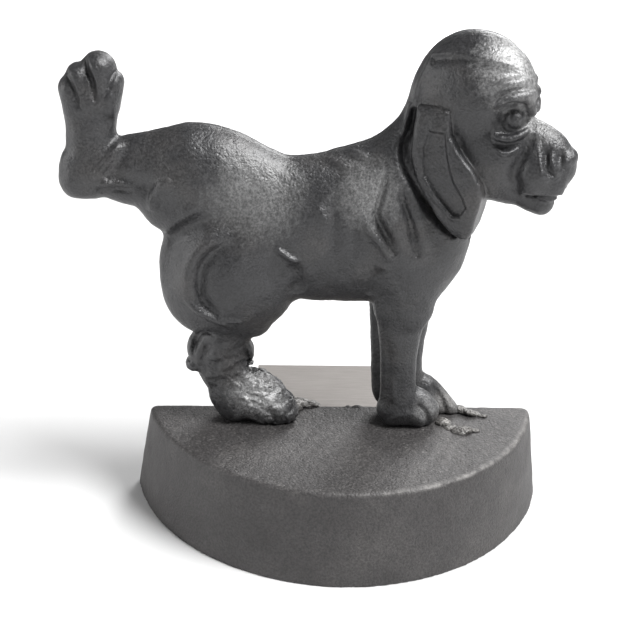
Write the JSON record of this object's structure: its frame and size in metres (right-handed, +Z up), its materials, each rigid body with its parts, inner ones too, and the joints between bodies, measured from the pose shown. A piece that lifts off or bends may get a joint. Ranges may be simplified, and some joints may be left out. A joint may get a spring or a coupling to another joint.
{
  "type": "door stop",
  "caption": "Cast-iron door stop: a hound with a hind leg raised, standing on a half-moon base with a wedge behind that slides under a door.",
  "frame": {"origin": "on the floor, under the middle of the straight back edge of the base's top", "axes": "+Z up, +X the way the dog faces, +Y towards the door, along the wedge"},
  "size_m": [0.196, 0.172, 0.194],
  "materials": {
    "cast_iron": "dark grey, sand-cast skin, slightly polished on the high spots",
    "worn_iron": "paler and browner, worn smooth by the door",
    "screw_steel": "dull steel, slotted heads",
    "filler_metal": "rough lumpy filler metal"
  },
  "bodies": {
    "root": {"right_body_casting": "cast_iron", "left_body_casting": "cast_iron", "base_casting": "cast_iron", "door_wedge": "worn_iron", "shoulder_screw": "screw_steel", "haunch_screw": "screw_steel", "tail_side_wedge_screw": "screw_steel", "head_side_wedge_screw": "screw_steel", "hind_paw_braze": "filler_metal", "right_fore_paw_braze": "filler_metal", "left_fore_paw_braze": "filler_metal"}
  },
  "joints": []
}
